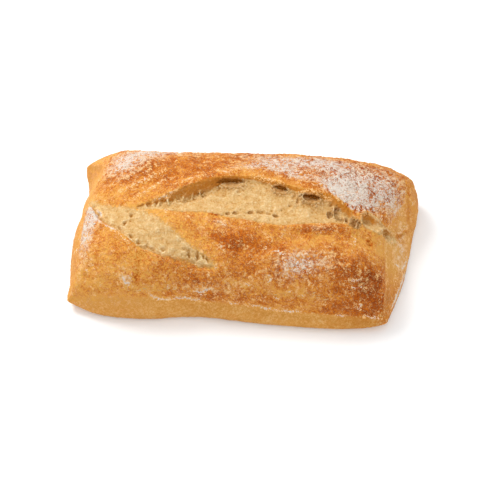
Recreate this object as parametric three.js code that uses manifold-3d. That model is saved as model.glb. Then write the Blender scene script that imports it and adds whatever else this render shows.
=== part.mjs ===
// A small ciabatta: one baked piece of wet dough, cut square, floured on its top skin and torn open along
// its length by the oven. Millimetres, +Z up, X along the loaf, -Y the front. It stands on z = 0, centred on
// X and Y.
//
// The form is a pillow. A top skin is stretched over the crumb and ends at a rim, where the dough was cut.
// Below the rim the four cut faces bulge down to the base edge, and the base is flat but for its pinched
// corners. The main tear is cut out of the skin as a loft with a raised flap behind it, a shallow tear
// crosses the left end, and open crumb cells are cut out of the tears.
import * as THREE from "three";
import { ImprovedNoise } from "three/addons/math/ImprovedNoise.js";
import { mergeVertices } from "three/addons/utils/BufferGeometryUtils.js";
import Module from "manifold-3d";

// Driving dimensions.
const LENGTH = 176;
const WIDTH = 97.5;
const CROWN = 38.5; // height of the top skin at mid-loaf, before the flap and the humps
const FRONT_EDGE = -47.5; // where the width begins: Y = 0 runs along the tear until the loaf is centred

// Mesh density: quads along the loaf, across it, and down a cut face.
const ALONG = 50;
const ACROSS = 38;
const DOWN = 4;

const HALF_LENGTH = LENGTH / 2;
const BACK_EDGE = FRONT_EDGE + WIDTH;
const noise = new ImprovedNoise();

const lerp = THREE.MathUtils.lerp;
const smoothstep = THREE.MathUtils.smoothstep;
const bump = (distance, reach) => Math.exp(-((distance / reach) ** 2));

// A smooth function of one number through a few [place, value] knots.
function through(knots) {
  const last = knots.length - 1;
  const slope = (i) => {
    const before = knots[Math.max(i - 1, 0)];
    const after = knots[Math.min(i + 1, last)];
    return (after[1] - before[1]) / (after[0] - before[0]);
  };
  return (place) => {
    const at = THREE.MathUtils.clamp(place, knots[0][0], knots[last][0]);
    let i = 0;
    while (i < last - 1 && at > knots[i + 1][0]) i += 1;
    const span = knots[i + 1][0] - knots[i][0];
    const t = (at - knots[i][0]) / span;
    const hermite = [
      (1 + 2 * t) * (1 - t) ** 2,
      t * (1 - t) ** 2 * span,
      t * t * (3 - 2 * t),
      t * t * (t - 1) * span,
    ];
    return (
      hermite[0] * knots[i][1] +
      hermite[1] * slope(i) +
      hermite[2] * knots[i + 1][1] +
      hermite[3] * slope(i + 1)
    );
  };
}

// -----------------------------------------------------------------------------------------------------------
// The four sides. Each goes from -1 to 1 along its edge. The insets are measured in from the LENGTH by WIDTH
// rectangle: of the rim, where the floured skin ends, and of the base edge below it.

const FRONT = {
  rimInset: through([[-1, 5], [-0.8, 3], [-0.5, 2.8], [-0.2, 5.6], [0.25, 5], [0.7, 5], [1, 6.5]]),
  rimHeight: through([
    [-1, 7], [-0.8, 14], [-0.5, 15.5], [-0.2, 10.5], [0, 11.5], [0.25, 9.5], [0.7, 9], [1, 6],
  ]),
  baseInset: through([[-1, 4.5], [-0.8, 0.3], [-0.5, 0.2], [-0.2, 4], [0.25, 2.8], [0.7, 3.2], [1, 6]]),
};
const BACK = {
  rimInset: through([
    [-1, 8.5], [-0.8, 4.5], [-0.5, 5.5], [-0.1, 2.8], [0.3, 0.6], [0.6, 1.4], [0.85, 2.4], [1, 4.5],
  ]),
  rimHeight: through([[-1, 12], [-0.8, 19], [-0.3, 21], [0.3, 21], [0.8, 20], [1, 14]]),
  baseInset: through([[-1, 8.5], [-0.8, 4], [-0.5, 5], [0, 2.5], [0.4, 1], [0.8, 2.5], [1, 6]]),
};
const LEFT = {
  rimInset: through([[-1, 4], [-0.7, 7], [-0.2, 7], [0.1, 6.5], [0.4, 9.5], [0.75, 10.5], [1, 0.5]]),
  rimHeight: through([[-1, 7], [-0.7, 17], [-0.2, 22], [0.2, 20], [0.5, 23], [0.8, 20], [1, 12]]),
  baseInset: through([
    [-1, 4], [-0.7, 2.5], [-0.2, 0], [0, 0.8], [0.2, 2.4], [0.4, 1], [0.65, 3], [0.85, 1.6], [1, 0],
  ]),
};
const RIGHT = {
  rimInset: through([[-1, 13], [-0.8, 13.5], [-0.4, 14.5], [0, 15], [0.4, 9.5], [0.75, 1.6], [1, 2.4]]),
  rimHeight: through([[-1, 6], [-0.8, 15], [-0.4, 20], [0, 22], [0.4, 21], [0.8, 19], [1, 15]]),
  baseInset: through([[-1, 12.5], [-0.8, 10], [-0.4, 5], [0, 2.2], [0.4, 0.2], [0.75, -1.4], [1, 2]]),
};
const FACE_BULGE = 1.6; // how far a cut face swells out between its rim and its base
const BASE_ROUND = 1.4; // height of the rounded foot of a cut face
const BASE_SINK = 1; // how far the base sinks below z = 0 before it is trimmed flat
const CORNER_LIFT = 3.5; // how far the pinched corners curl up off z = 0

// Plan position of a point a along the loaf and b across it, each from -1 to 1, with the sides at the given
// insets.
function plan(a, b, inset) {
  const left = -HALF_LENGTH + LEFT[inset](b);
  const right = HALF_LENGTH - RIGHT[inset](b);
  const front = FRONT_EDGE + FRONT[inset](a);
  const back = BACK_EDGE - BACK[inset](a);
  return [lerp(left, right, (a + 1) / 2), lerp(front, back, (b + 1) / 2)];
}

// Height of the rim, blended over the top from the four sides. It is exact on each side.
function rimLevel(a, b) {
  const ends = lerp(LEFT.rimHeight(b), RIGHT.rimHeight(b), (a + 1) / 2);
  const sides = lerp(FRONT.rimHeight(a), BACK.rimHeight(a), (b + 1) / 2);
  const toEnd = Math.abs(a) ** 8;
  const toSide = Math.abs(b) ** 8;
  if (toEnd + toSide < 1e-9) return (ends + sides) / 2;
  return (ends * toEnd + sides * toSide) / (toEnd + toSide);
}

// -----------------------------------------------------------------------------------------------------------
// The main tear: along the loaf, from its front lip to the edge of the raised flap behind it. On its left the
// crumb drops to a crease under a tall wall. From mid-loaf on it rises to just under the flap's edge.

const TEAR = {
  from: -53,
  to: 56,
  // Front lip, crease at the foot of the wall, and crust edge of the flap, as y at a place x along the loaf.
  lip: through([
    [-53, -6.2], [-46, -5.7], [-31, -5.6], [-13, -5.7], [-8, -6.9],
    [2, -7.8], [14, -9.3], [26, -8.6], [38, -6.6], [49, -4.7], [56, -4.2],
  ]),
  crease: through([
    [-53, -4.6], [-42, -0.2], [-32, 3.5], [-22.6, 7.7], [-15.4, 11.7], [-8, 15],
    [5, 15.8], [17, 13.1], [28, 9.4], [38, 8], [48, 3.2], [56, -1.2],
  ]),
  flap: through([
    [-53, -4.2], [-42, 2], [-28, 9.4], [-18, 14], [-8, 16.4],
    [5, 17.4], [17, 14.4], [28, 11.2], [38, 9.8], [48, 6.8], [56, 1],
  ]),
  // Depth of the crumb below the skin at the lip and half way, and height of the wall up to the flap's edge.
  lipDepth: through([[-53, 0.6], [0, 0.7], [26, 1.2], [50, 1.4], [56, 0.6]]),
  midDepth: through([[-53, 0.6], [-35, 2.6], [-15, 2.6], [5, 1.8], [25, 2.2], [42, 2.8], [56, 0.8]]),
  wallHeight: through([
    [-53, 1], [-42, 4], [-32, 5.6], [-22, 6.5], [-15, 5],
    [-8, 2.6], [0, 2], [20, 2], [38, 2.3], [48, 3], [56, 2],
  ]),
};
const FLAP_RISE = 2.8; // how far the flap stands above the skin in front of it
const FLAP_REACH = 13; // how far from its edge the flap's rise dies out
const OPEN_AIR = 70; // height of a cutter's open side, above everything

// The shallow tear: a sunken band of stretched dough from the left end towards the front, given by its two
// edges at a place x. The old skin stands as a step along its front edge, and its back edge runs out without
// one.
const STRETCH = {
  from: -92,
  to: -10,
  front: through([[-92, 10], [-80, 4], [-70, -12.5], [-61, -18.3], [-48, -27.2], [-29, -32.8], [-10, -34.5]]),
  back: through([[-92, 16], [-80, 14], [-64, 6], [-50, -4], [-38, -12.5], [-25, -20.5], [-10, -28.5]]),
  depth: through([[-92, 2.4], [-75, 2.8], [-45, 2.4], [-25, 2], [-10, 0.8]]),
};

// Swellings (rise above 0) and dents of the top skin: place, radii, turn in degrees and rise.
const HUMPS = [
  { at: [-60, -33], radii: [20, 12], turn: -20, rise: 1.6 },
  { at: [50, -28], radii: [26, 11], turn: 4, rise: 2.2 },
  { at: [-18, -14], radii: [24, 6], turn: -8, rise: 1.4 },
  { at: [39, -9.8], radii: [15, 3], turn: 4, rise: 2.6 },
  { at: [-8, -34], radii: [12, 7], turn: 20, rise: 1 },
  { at: [13, -33], radii: [9, 6], turn: 30, rise: 0.7 },
  { at: [-48, 26], radii: [22, 9], turn: 14, rise: 1.1 },
  { at: [52, 22], radii: [22, 13], turn: -14, rise: 1.4 },
  { at: [-46, -37], radii: [3.5, 10], turn: 8, rise: -1 },
  { at: [2, -27], radii: [8, 3], turn: 42, rise: -1.1 },
  { at: [24, -17.5], radii: [14, 3.2], turn: 26, rise: -1.5 },
  { at: [55, -11.5], radii: [19, 3.4], turn: 3, rise: -1.9 },
  { at: [-34, 17], radii: [20, 3.6], turn: 22, rise: -1 },
  { at: [8, 33], radii: [24, 3.6], turn: -3, rise: -0.8 },
  { at: [68, 8], radii: [7, 12], turn: 10, rise: -1.6 },
];

// Relief of the top skin at a plan position.
function relief(x, y) {
  let z = 0;
  for (const { at, radii, turn, rise } of HUMPS) {
    const angle = THREE.MathUtils.degToRad(turn);
    const u = (x - at[0]) * Math.cos(angle) + (y - at[1]) * Math.sin(angle);
    const v = (y - at[1]) * Math.cos(angle) - (x - at[0]) * Math.sin(angle);
    z += rise * Math.exp(-((u / radii[0]) ** 2) - (v / radii[1]) ** 2);
  }
  const alongFlap = smoothstep(x, TEAR.from, TEAR.from + 25) * (1 - smoothstep(x, TEAR.to - 22, TEAR.to + 6));
  const behind = y - TEAR.flap(x);
  z += FLAP_RISE * alongFlap * (behind > 0 ? bump(behind, FLAP_REACH) : smoothstep(behind, -FLAP_REACH, 0));
  z += 0.8 * noise.noise(x / 15, y / 11, 3.1) + 0.45 * noise.noise(x / 6.5, y / 5.5, 8.3);
  return z;
}

// Height of the top skin at a along and b across, with its plan position.
function skin(a, b) {
  const [x, y] = plan(a, b, "rimInset");
  const rim = rimLevel(a, b);
  const dome = Math.sqrt((1 - Math.abs(a) ** 5) * (1 - Math.abs(b) ** 2.8));
  const fade = smoothstep(dome, 0, 0.45);
  return [x, y, rim + (CROWN - rim) * dome + relief(x, y) * fade];
}

// Height of the top skin over a plan position, by a few steps of the inverse of plan.
function skinHeight(x, y) {
  let a = x / HALF_LENGTH;
  let b = (2 * (y - FRONT_EDGE)) / WIDTH - 1;
  for (let step = 0; step < 8; step += 1) {
    const [px, py] = plan(a, b, "rimInset");
    a = THREE.MathUtils.clamp(a + (x - px) / HALF_LENGTH, -0.999, 0.999);
    b = THREE.MathUtils.clamp(b + (2 * (y - py)) / WIDTH, -0.999, 0.999);
  }
  return skin(a, b)[2];
}

// Base of the loaf: it sinks a little below z = 0, to be trimmed flat there, and curls up at its edge.
function base(a, b) {
  const [x, y] = plan(a, b, "baseInset");
  const edge = Math.max(Math.abs(a), Math.abs(b));
  const corner = (Math.abs(a) * Math.abs(b)) ** 10;
  const foot = (BASE_ROUND + BASE_SINK) * smoothstep(edge, 0.93, 1) - BASE_SINK;
  return [x, y, foot + CORNER_LIFT * corner];
}

// A cut face, from its rim (down = 0) to its base edge (down = 1).
function cutFace(a, b, down) {
  const rim = skin(a, b);
  const foot = base(a, b);
  const midway = 4 * down * (1 - down);
  const awayFromCorner = Math.sqrt(Math.max(0, 1 - Math.abs(a * b) ** 6));
  const wrinkle = 0.5 * noise.noise(rim[0] / 9, rim[1] / 9, down * 1.5);
  const swell = (FACE_BULGE * awayFromCorner + wrinkle) * midway;
  const outX = Math.abs(a) === 1 ? Math.sign(a) : 0;
  const outY = Math.abs(b) === 1 ? Math.sign(b) : 0;
  return [
    lerp(rim[0], foot[0], down) + swell * outX,
    lerp(rim[1], foot[1], down) + swell * outY,
    lerp(rim[2], foot[2], down),
  ];
}

// -----------------------------------------------------------------------------------------------------------
// Solids.

const wasm = await Module();
wasm.setup();

function toSolid(geometry) {
  const bare = geometry.clone().deleteAttribute("normal").deleteAttribute("uv");
  const merged = mergeVertices(bare, 1e-4);
  return new wasm.Manifold(
    new wasm.Mesh({
      numProp: 3,
      vertProperties: new Float32Array(merged.attributes.position.array),
      triVerts: new Uint32Array(merged.index.array),
    }),
  );
}

function toGeometry(solid) {
  const mesh = solid.getMesh();
  const geometry = new THREE.BufferGeometry();
  geometry.setAttribute("position", new THREE.BufferAttribute(mesh.vertProperties, 3));
  geometry.setIndex(new THREE.BufferAttribute(mesh.triVerts, 1));
  geometry.computeVertexNormals();
  return geometry;
}

// Moves every vertex of a geometry by a function of its place.
function reshape(geometry, move) {
  const position = geometry.attributes.position;
  for (let i = 0; i < position.count; i += 1) {
    position.setXYZ(i, ...move(position.getX(i), position.getY(i), position.getZ(i)));
  }
  return geometry;
}

// Closer grid lines towards the edges, where the pillow turns down.
const crowd = (t) => lerp(t, Math.sin((t * Math.PI) / 2), 0.8);

function pillow() {
  const box = new THREE.BoxGeometry(2, 2, 2, ALONG, ACROSS, DOWN);
  return reshape(box, (x, y, z) => {
    const a = Math.abs(x) === 1 ? x : crowd(x);
    const b = Math.abs(y) === 1 ? y : crowd(y);
    if (z === 1) return skin(a, b);
    if (z === -1) return base(a, b);
    return cutFace(a, b, (1 - z) / 2);
  });
}

// What the main tear leaves open: u runs along it, v from its front lip to its back, and w up from the crumb.
function tearCutter() {
  const LIP_SHARE = 0.75; // share of the way up at which the cutter passes the crust's edge
  const box = new THREE.BoxGeometry(1, 1, 1, 55, 8, 4).translate(0.5, 0.5, 0.5);
  return reshape(box, (u, v, w) => {
    const x = lerp(TEAR.from, TEAR.to, u);
    const ragged = 0.5 * noise.noise(x / 3.5, 5.7, 1.9) + 0.4 * noise.noise(x / 8, 2.2, 6.4);
    const lip = TEAR.lip(x) + 0.6 * ragged - 0.3;
    const crease = TEAR.crease(x) + 0.8 * ragged + 0.3;
    const flap = TEAR.flap(x) + ragged + 0.3;
    const top = skinHeight(x, flap);
    const depth = lerp(
      lerp(TEAR.lipDepth(x), TEAR.midDepth(x), smoothstep(v, 0, 0.55)),
      TEAR.wallHeight(x) - 1.5,
      smoothstep(v, 0.55, 1),
    );
    const y = lerp(lip, crease, v);
    const crumb = 0.5 * noise.noise(x / 3.2, y / 3.2, 11.5) + 0.6 * noise.noise(x / 7, y / 6, 15.1);
    const unevenness = crumb * Math.min(1, 5 * v * (1 - v) + 0.3);
    const floor = Math.min(lerp(skinHeight(x, lip), top - 1.5, v) - depth + unevenness, top - 0.8);
    if (w <= LIP_SHARE) {
      const rise = w / LIP_SHARE;
      return [x, lerp(lip, lerp(crease, flap, rise ** 1.5), v), lerp(floor, top, rise)];
    }
    return [x, lerp(lip, flap, v), lerp(top, OPEN_AIR, (w - LIP_SHARE) / (1 - LIP_SHARE))];
  });
}

// The shallow tear's band: its floor follows the skin, deepest behind the step and rising out at the back.
function stretchCutter() {
  const box = new THREE.BoxGeometry(1, 1, 1, 34, 6, 1).translate(0.5, 0.5, 0.5);
  return reshape(box, (u, v, w) => {
    const x = lerp(STRETCH.from, STRETCH.to, u);
    const ragged = 0.7 * noise.noise(x / 4.5, 3.3, 7.7);
    const y = lerp(STRETCH.front(x) + ragged, STRETCH.back(x), v);
    const sunk = STRETCH.depth(x) * (1.05 - 1.3 * v) + 0.3 * noise.noise(x / 4, y / 4, 21.3);
    return [x, y, w === 1 ? OPEN_AIR : skinHeight(x, y) - sunk];
  });
}

// Open crumb cells: place, radii and turn in degrees. Three pockets and three small cells lie under the
// flap's edge, three hollows at the right end of the tear, and five small holes in a row behind the lip.
const CELLS = [
  { at: [-7.4, 14.8, 38.3], radii: [7.6, 3, 2], turn: 3 },
  { at: [17.8, 12.8, 38.1], radii: [4.3, 2.8, 2.1], turn: -14 },
  { at: [33.3, 8.7, 38], radii: [5.4, 3.1, 2.3], turn: -8 },
  { at: [46.6, 3, 35.6], radii: [2.3, 2, 2.2], turn: -20 },
  { at: [43.4, 0.2, 35.2], radii: [1.7, 2.2, 2.1], turn: 0 },
  { at: [48.2, -1.4, 34.8], radii: [2.8, 1.4, 2], turn: -10 },
  { at: [56.3, -3.3, 35.2], radii: [3.3, 3.2, 3.4], turn: 0 },
  { at: [65.4, 0.8, 34.5], radii: [6.8, 4.9, 4], turn: -10 },
  { at: [73.4, 1.2, 24.8], radii: [5, 2.8, 4.2], turn: 30 },
  { at: [-7.2, -4.5, 37.4], radii: [1.7, 1.1, 1.7], turn: 0 },
  { at: [-3.2, -3.7, 37.5], radii: [2.2, 1.2, 1.8], turn: 8 },
  { at: [4.2, -2.6, 37.4], radii: [1.8, 1.1, 1.8], turn: 20 },
  { at: [9.4, -1.9, 37.3], radii: [2.8, 1.2, 1.7], turn: -4 },
  { at: [16.6, -3.2, 36.9], radii: [2.1, 1, 1.6], turn: -24 },
];

function cellCutter({ at, radii, turn }) {
  const ball = new THREE.IcosahedronGeometry(1, 2);
  reshape(ball, (x, y, z) => {
    const grown = 1 + 0.22 * noise.noise(x * 1.6 + at[0], y * 1.6 + at[1], z * 1.6);
    return [x * radii[0] * grown, y * radii[1] * grown, z * radii[2] * grown];
  });
  return ball.rotateZ(THREE.MathUtils.degToRad(turn)).translate(...at);
}

function loafSolid() {
  const TRIM = 20; // depth of the block below z = 0 that trims the base flat
  const below = new THREE.BoxGeometry(2 * LENGTH, 2 * WIDTH, TRIM).translate(0, 0, -TRIM / 2);
  let solid = toSolid(pillow()).subtract(toSolid(below));
  solid = solid.subtract(toSolid(stretchCutter()));
  solid = solid.subtract(toSolid(tearCutter()));
  for (const cell of CELLS) solid = solid.subtract(toSolid(cellCutter(cell)));
  return solid;
}

const bread = new THREE.MeshStandardMaterial({ color: 0xc98d4b, roughness: 0.75, metalness: 0 });
const geometry = toGeometry(loafSolid());
geometry.computeBoundingBox();
const { min, max } = geometry.boundingBox;
geometry.translate(-(min.x + max.x) / 2, -(min.y + max.y) / 2, -min.z);

const loaf = new THREE.Mesh(geometry, bread);
loaf.name = "loaf";

const ciabatta = new THREE.Group();
ciabatta.add(loaf);

export default ciabatta;
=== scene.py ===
"""Dresses a small ciabatta: blistered crust, open crumb, smooth cut sides, flour and studio light.

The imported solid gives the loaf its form. A copy of it is remeshed finely here, the strands that bridge the
torn crumb are joined to it, and the crust's blisters and the crumb's cells are worked into its surface.
Metres, +Z up, X along the loaf, -Y its front. Sizes of relief and places on the loaf are in millimetres.
"""

import logging
import math
import random
from dataclasses import dataclass, field
from enum import Enum

import bpy
import numpy as np
from mathutils import Matrix, Vector
from mathutils.bvhtree import BVHTree


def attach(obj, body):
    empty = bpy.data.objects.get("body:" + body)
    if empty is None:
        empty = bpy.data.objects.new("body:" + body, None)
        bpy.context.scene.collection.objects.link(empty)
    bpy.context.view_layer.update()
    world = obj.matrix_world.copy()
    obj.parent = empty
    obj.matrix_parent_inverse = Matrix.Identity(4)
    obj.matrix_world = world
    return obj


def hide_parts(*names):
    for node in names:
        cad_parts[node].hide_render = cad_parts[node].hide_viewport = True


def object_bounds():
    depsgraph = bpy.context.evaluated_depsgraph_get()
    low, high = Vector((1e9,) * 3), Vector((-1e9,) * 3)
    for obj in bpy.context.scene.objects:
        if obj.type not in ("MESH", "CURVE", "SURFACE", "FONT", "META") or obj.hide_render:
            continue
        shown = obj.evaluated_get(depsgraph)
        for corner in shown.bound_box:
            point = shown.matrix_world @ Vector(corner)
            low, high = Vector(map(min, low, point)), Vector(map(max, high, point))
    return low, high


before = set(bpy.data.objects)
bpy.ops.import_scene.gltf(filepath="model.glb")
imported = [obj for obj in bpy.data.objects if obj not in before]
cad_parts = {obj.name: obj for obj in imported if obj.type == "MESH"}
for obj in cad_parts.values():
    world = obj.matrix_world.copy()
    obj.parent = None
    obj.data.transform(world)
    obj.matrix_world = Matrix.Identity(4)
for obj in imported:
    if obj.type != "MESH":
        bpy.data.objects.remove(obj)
CAD_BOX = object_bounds()

MM = 0.001
CENTRING = (0.86, 1.30)  # how far the loaf's plan was moved when it was centred on its footprint, in mm
WEIGHT_STEPS = 20  # how finely the weights of a vertex group are told apart
OUTSIDE = -9.0  # a depth well outside a tear, in mm
LOG = logging.getLogger("ciabatta")

Array = np.ndarray
Piece = bpy.types.Object
Mesh = bpy.types.Mesh
Material = bpy.types.Material
Node = bpy.types.Node
NodeTree = bpy.types.NodeTree
Socket = bpy.types.NodeSocket


# Working by hand: selecting, applying and marking.


def pick(piece: Piece) -> None:
    """Selects one object alone and makes it active, for the next operator."""
    bpy.ops.object.select_all(action="DESELECT")
    piece.select_set(True)
    bpy.context.view_layer.objects.active = piece


def join(pieces: list[Piece]) -> Piece:
    """Joins pieces into the first of them."""
    pick(pieces[0])
    for piece in pieces:
        piece.select_set(True)
    bpy.ops.object.join()
    return bpy.context.object


def apply_modifier(piece: Piece, name: str, kind: str, **settings: object) -> None:
    """Adds a modifier to a piece and applies it at once.

    Args:
        piece: The mesh object to change.
        name: The modifier's name.
        kind: The modifier's type, as Blender names it.
        settings: Values for the modifier's own properties.
    """
    pick(piece)
    modifier = piece.modifiers.new(name, kind)
    for key, value in settings.items():
        setattr(modifier, key, value)
    bpy.ops.object.modifier_apply(modifier=name)


def copy_of(mesh: Mesh, name: str) -> Piece:
    """Makes a new object with its own copy of a mesh."""
    piece = bpy.data.objects.new(name, mesh.copy())
    bpy.context.scene.collection.objects.link(piece)
    return piece


def read(items: bpy.types.bpy_prop_collection, key: str, columns: int) -> Array:
    """Reads one property of many items into an array, one row for each."""
    flat = np.empty(len(items) * columns, np.float32)
    items.foreach_get(key, flat)
    return flat.reshape(-1, columns).astype(float)


def points_of(mesh: Mesh) -> Array:
    """Gives a mesh's vertices in millimetres."""
    return read(mesh.vertices, "co", 3) / MM


def normals_of(mesh: Mesh) -> Array:
    """Gives a mesh's vertex normals."""
    return read(mesh.vertex_normals, "vector", 3)


def move_points(mesh: Mesh, points: Array) -> None:
    """Puts a mesh's vertices at the given places in millimetres."""
    mesh.vertices.foreach_set("co", (points * MM).astype(np.float32).ravel())
    mesh.update()


def keep_within_solid(mesh: Mesh) -> None:
    """Brings a mesh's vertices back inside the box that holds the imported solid."""
    low, high = (np.array(corner) / MM for corner in CAD_BOX)
    move_points(mesh, np.clip(points_of(mesh), low, high))


def paint_group(piece: Piece, name: str, weights: Array) -> None:
    """Stores a weight for each vertex as a vertex group, which modifiers take as their mask.

    Args:
        piece: The mesh object.
        name: The group's name.
        weights: A weight from 0 to 1 for each vertex.
    """
    group = piece.vertex_groups.new(name=name)
    rounded = np.clip(np.rint(weights * WEIGHT_STEPS), 0, WEIGHT_STEPS).astype(int)
    for step in range(1, WEIGHT_STEPS + 1):
        members = np.flatnonzero(rounded == step).tolist()
        if members:
            group.add(members, step / WEIGHT_STEPS, "REPLACE")


def paint_attribute(piece: Piece, name: str, values: Array) -> None:
    """Stores a number for each vertex as an attribute of that name, which the finish reads."""
    attribute = piece.data.attributes.new(name, "FLOAT", "POINT")
    attribute.data.foreach_set("value", values.astype(np.float32))


def dress(piece: Piece, material: Material) -> None:
    """Gives a piece one material and smooth shading."""
    piece.data.materials.clear()
    piece.data.materials.append(material)
    pick(piece)
    bpy.ops.object.shade_smooth()


# Places on the loaf.


def smoothstep(value: Array, low: float, high: float) -> Array:
    """Goes smoothly from 0 at low to 1 at high."""
    t = np.clip((value - low) / (high - low), 0, 1)
    return t * t * (3 - 2 * t)


def uneven(points: Array, size: float) -> Array:
    """Gives an irregular value from -1 to 1 at each place, which turns about once in a size in mm."""
    turns = points[:, :2] * (math.tau / size)
    first = np.sin(turns[:, 0] + 1.7 * np.sin(0.9 * turns[:, 1] + 2.0))
    second = np.sin(1.3 * turns[:, 1] + 1.4 * np.sin(0.8 * turns[:, 0] + 1.0))
    return (first + second) / 2


@dataclass(frozen=True)
class Fade:
    """A share that grows smoothly from 0 at a low value to its full amount at a high one."""

    low: float
    high: float
    amount: float = 1.0

    def at(self, value: Array) -> Array:
        """Gives the share at each value."""
        return self.amount * smoothstep(value, self.low, self.high)


@dataclass(frozen=True)
class Line:
    """A smooth line across the plan, as one coordinate through a few knots of the other."""

    knots: tuple[tuple[float, float], ...]

    def at(self, place: Array) -> Array:
        """Gives the line's coordinate at each place, by cubic pieces through the knots.

        Args:
            place: The other coordinate, in the knots' units.

        Returns:
            The line's own coordinate, held level past the two end knots.
        """
        xs, ys = np.array(self.knots, float).T
        place = np.clip(place, xs[0], xs[-1])
        slopes = np.gradient(ys, xs)
        i = np.clip(np.searchsorted(xs, place) - 1, 0, len(xs) - 2)
        span = xs[i + 1] - xs[i]
        t = (place - xs[i]) / span
        return (
            (1 + 2 * t) * (1 - t) ** 2 * ys[i]
            + t * (1 - t) ** 2 * span * slopes[i]
            + t * t * (3 - 2 * t) * ys[i + 1]
            + t * t * (t - 1) * span * slopes[i + 1]
        )


@dataclass(frozen=True)
class Patch:
    """A soft elliptical patch on the loaf's plan."""

    x: float
    y: float
    length: float
    width: float
    turn: float = 0.0
    amount: float = 1.0

    def reach(self, plan: Array) -> Array:
        """Gives how far each place is from the middle, as a share of the patch's radius."""
        angle = math.radians(self.turn)
        dx, dy = plan[:, 0] - self.x, plan[:, 1] - self.y
        along = dx * math.cos(angle) + dy * math.sin(angle)
        across = dy * math.cos(angle) - dx * math.sin(angle)
        return np.hypot(along / self.length, across / self.width)

    def weight(self, plan: Array) -> Array:
        """Gives the patch's strength at each place: its amount in the middle, fading outwards."""
        return self.amount * np.exp(-self.reach(plan) ** 2)


def patches(*rows: tuple[float, ...]) -> tuple[Patch, ...]:
    """Makes a patch from each row: x, y, length and width in mm, turn in degrees, and amount."""
    return tuple(Patch(*row) for row in rows)


def layered(several: tuple[Patch, ...], plan: Array) -> Array:
    """Adds up the strengths of several patches at each place."""
    return sum(patch.weight(plan) for patch in several)


@dataclass(frozen=True)
class Trace:
    """A narrow line laid on the surface: a fold pressed into it, or a ridge that holds flour; a flour below
    zero darkens the line as painted shade in the fold.
    """

    path: tuple[tuple[float, float, float], ...]
    width: float = 0.7
    rise: float = 0.25
    flour: float = 0.9
    step: float = 0.6
    wobble: float = 0.3
    margin: float = 4.0
    taper: float = 0.4

    def nearness(self, points: Array) -> Array:
        """Gives 1 on the line and 0 away from it, fading at the line's ends.

        Args:
            points: The surface's vertices in millimetres; the line is first laid onto the nearest of them.

        Returns:
            The weight of each vertex.
        """
        path = np.array(self.path)
        boxed = (points > path.min(axis=0) - self.margin) & (points < path.max(axis=0) + self.margin)
        near = np.flatnonzero(boxed.all(axis=1))
        beside = points[near]
        legs = np.linalg.norm(np.diff(path, axis=0), axis=1)
        along = np.concatenate([[0.0], np.cumsum(legs)])
        stops = np.arange(0, along[-1], self.step)
        spine = np.stack([np.interp(stops, along, path[:, axis]) for axis in range(3)], axis=1)
        spine += np.random.default_rng(len(stops)).normal(0, self.wobble, spine.shape)
        weights = np.zeros(len(points))
        for number, wanted in enumerate(spine):
            laid = beside[((beside - wanted) ** 2).sum(axis=1).argmin()]
            fade = math.sin(math.pi * (number + 0.5) / len(spine)) ** self.taper
            away = ((beside - laid) ** 2).sum(axis=1) / self.width**2
            weights[near] = np.maximum(weights[near], fade * np.exp(-away))
        return weights


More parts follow.
